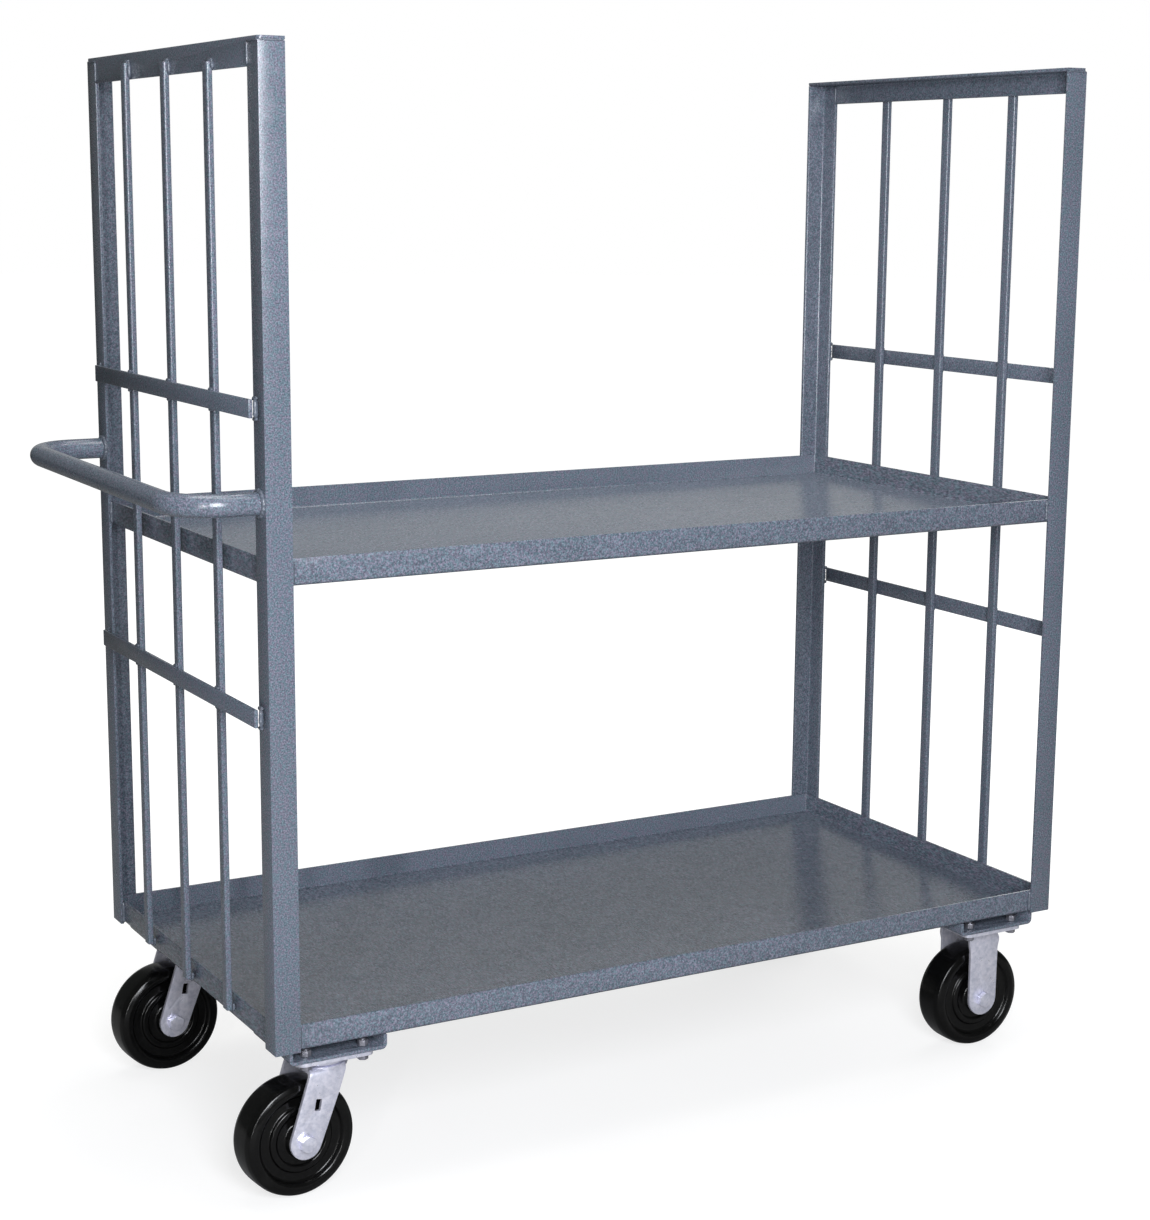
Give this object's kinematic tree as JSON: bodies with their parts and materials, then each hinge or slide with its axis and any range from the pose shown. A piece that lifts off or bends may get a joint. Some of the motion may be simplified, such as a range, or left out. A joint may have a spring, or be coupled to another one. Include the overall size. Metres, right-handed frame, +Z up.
{
  "type": "book cart",
  "caption": "Welded steel book cart: tray shelves in an angle frame with slatted ends, a tubular push handle, swivel casters under the handle and rigid ones opposite.",
  "frame": {"origin": "on the floor under the middle of the cart's overall box, handle included", "axes": "+Z up; X along the cart with the push handle at -X; Y across the cart"},
  "size_m": [1.3608, 0.6192, 1.4272],
  "materials": {
    "frame_paint": "semi-gloss blue-grey enamel with a fine speckle",
    "zinc": "bright zinc plate",
    "black_wheel": "glossy moulded black",
    "bare_steel": "plain steel"
  },
  "bodies": {
    "frame": {"upper_shelf": "frame_paint", "lower_shelf": "frame_paint", "post_handle_near": "frame_paint", "post_plain_near": "frame_paint", "post_plain_far": "frame_paint", "post_handle_far": "frame_paint", "top_angle_handle_end": "frame_paint", "top_angle_plain_end": "frame_paint", "push_handle": "frame_paint", "slat_handle_end_near": "frame_paint", "slat_handle_end_middle": "frame_paint", "slat_handle_end_far": "frame_paint", "cross_bar_handle_end_upper": "frame_paint", "cross_bar_handle_end_lower": "frame_paint", "slat_plain_end_near": "frame_paint", "slat_plain_end_middle": "frame_paint", "slat_plain_end_far": "frame_paint", "cross_bar_plain_end_upper": "frame_paint", "cross_bar_plain_end_lower": "frame_paint", "caster_pad_handle_near": "frame_paint", "mounting_bolt_handle_near_left": "zinc", "mounting_bolt_handle_near_right": "zinc", "caster_pad_handle_far": "frame_paint", "mounting_bolt_handle_far_left": "zinc", "mounting_bolt_handle_far_right": "zinc", "caster_pad_plain_near": "frame_paint", "mounting_bolt_plain_near_left": "zinc", "mounting_bolt_plain_near_right": "zinc", "caster_pad_plain_far": "frame_paint", "mounting_bolt_plain_far_left": "zinc", "mounting_bolt_plain_far_right": "zinc", "caster_plate_handle_near": "zinc", "bearing_ring_handle_near": "zinc", "kingpin_handle_near": "bare_steel", "caster_plate_handle_far": "zinc", "bearing_ring_handle_far": "zinc", "kingpin_handle_far": "bare_steel", "fork_plain_near": "zinc", "axle_bolt_plain_near": "zinc", "axle_nut_plain_near": "zinc", "fork_plain_far": "zinc", "axle_bolt_plain_far": "zinc", "axle_nut_plain_far": "zinc"},
    "swivel_handle_near": {"fork_handle_near": "zinc", "axle_bolt_handle_near": "zinc", "axle_nut_handle_near": "zinc"},
    "swivel_handle_far": {"fork_handle_far": "zinc", "axle_bolt_handle_far": "zinc", "axle_nut_handle_far": "zinc"},
    "wheel_handle_near": {"wheel_handle_near": "black_wheel", "hub_bushing_handle_near": "bare_steel"},
    "wheel_handle_far": {"wheel_handle_far": "black_wheel", "hub_bushing_handle_far": "bare_steel"},
    "wheel_plain_near": {"wheel_plain_near": "black_wheel", "hub_bushing_plain_near": "bare_steel"},
    "wheel_plain_far": {"wheel_plain_far": "black_wheel", "hub_bushing_plain_far": "bare_steel"}
  },
  "joints": [
    {"name": "swivel_turn_handle_near", "type": "hinge", "parent": "frame", "child": "swivel_handle_near", "pos_m": [-0.47428, -0.2413, 0.174], "axis": [0, 0, 1], "continuous": true},
    {"name": "swivel_turn_handle_far", "type": "hinge", "parent": "frame", "child": "swivel_handle_far", "pos_m": [-0.47428, 0.2413, 0.174], "axis": [0, 0, 1], "continuous": true},
    {"name": "wheel_spin_handle_near", "type": "hinge", "parent": "swivel_handle_near", "child": "wheel_handle_near", "pos_m": [-0.51353, -0.24473, 0.0762], "axis": [-0.0872, 0.9962, 0], "continuous": true},
    {"name": "wheel_spin_handle_far", "type": "hinge", "parent": "swivel_handle_far", "child": "wheel_handle_far", "pos_m": [-0.51353, 0.23787, 0.0762], "axis": [-0.0872, 0.9962, 0], "continuous": true},
    {"name": "wheel_spin_plain_near", "type": "hinge", "parent": "frame", "child": "wheel_plain_near", "pos_m": [0.57572, -0.2413, 0.0762], "axis": [0, 1, 0], "continuous": true},
    {"name": "wheel_spin_plain_far", "type": "hinge", "parent": "frame", "child": "wheel_plain_far", "pos_m": [0.57572, 0.2413, 0.0762], "axis": [0, 1, 0], "continuous": true}
  ]
}
